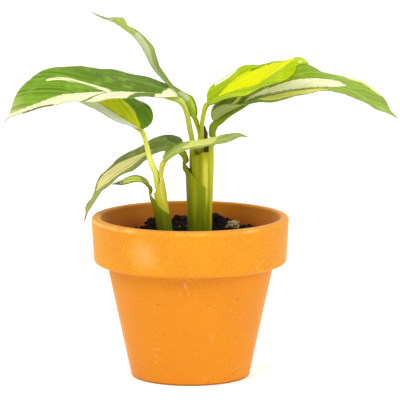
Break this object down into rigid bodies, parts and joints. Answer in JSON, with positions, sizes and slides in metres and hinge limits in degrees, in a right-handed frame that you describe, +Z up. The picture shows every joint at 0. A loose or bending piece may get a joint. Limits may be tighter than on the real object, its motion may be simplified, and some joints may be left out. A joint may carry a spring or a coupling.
{
  "type": "potted ctenanthe",
  "caption": "Young variegated ctenanthe with spreading oblong leaves on two short shoots, in a round terracotta pot with a rim band.",
  "frame": {"origin": "centre of the footprint, on the surface that the pot stands on; the pot's own axis is 6.2 mm to the left of it", "axes": "+Z up, +X to the right along the leaves' longest spread, -Y towards the front"},
  "size_m": [0.2192, 0.11, 0.2027],
  "materials": {
    "terracotta": "unglazed fired clay, matte, with fine pale specks",
    "potting_mix": "dark, moist and crumbly",
    "rhizome": "matte, pale brown",
    "main_sheath": "satin, olive green with fine lengthwise fibres",
    "side_sheath": "satin, pale yellow-green",
    "leaf_green": "satin, dark green with cream and yellow sectors",
    "leaf_light": "satin, light green with pale edges",
    "dried": "dry, brown and fibrous",
    "bark": "matte, dark brown",
    "crumb": "dry and crumbly",
    "perlite": "chalky white"
  },
  "bodies": {
    "root": {"pot": "terracotta", "potting_mix": "potting_mix", "rhizome_with_roots": "rhizome", "large_left_leaf_stalk": "main_sheath", "large_left_leaf_blade": "leaf_green", "rolled_young_leaf_stalk": "main_sheath", "rolled_young_leaf_blade": "leaf_light", "upper_right_leaf_stalk": "main_sheath", "upper_right_leaf_blade": "leaf_green", "large_right_leaf_stalk": "main_sheath", "large_right_leaf_blade": "leaf_green", "arching_lower_left_leaf_stalk": "main_sheath", "arching_lower_left_leaf_blade": "leaf_green", "left_of_side_shoot_leaf_stalk": "side_sheath", "left_of_side_shoot_leaf_blade": "leaf_green", "narrow_front_leaf_stalk": "side_sheath", "narrow_front_leaf_blade": "leaf_light", "withered_small_leaf_stalk": "side_sheath", "withered_small_leaf_blade": "leaf_light", "dried_sheath_tip": "dried", "bark_chip_1": "bark", "bark_chip_2": "bark", "bark_chip_3": "bark", "bark_chip_4": "bark", "bark_chip_5": "bark", "bark_chip_6": "bark", "bark_chip_7": "bark", "bark_chip_8": "bark", "bark_chip_9": "bark", "pale_crumb": "crumb", "perlite_grain_1": "perlite", "perlite_grain_2": "perlite", "perlite_grain_3": "perlite", "perlite_grain_4": "perlite"}
  },
  "joints": []
}
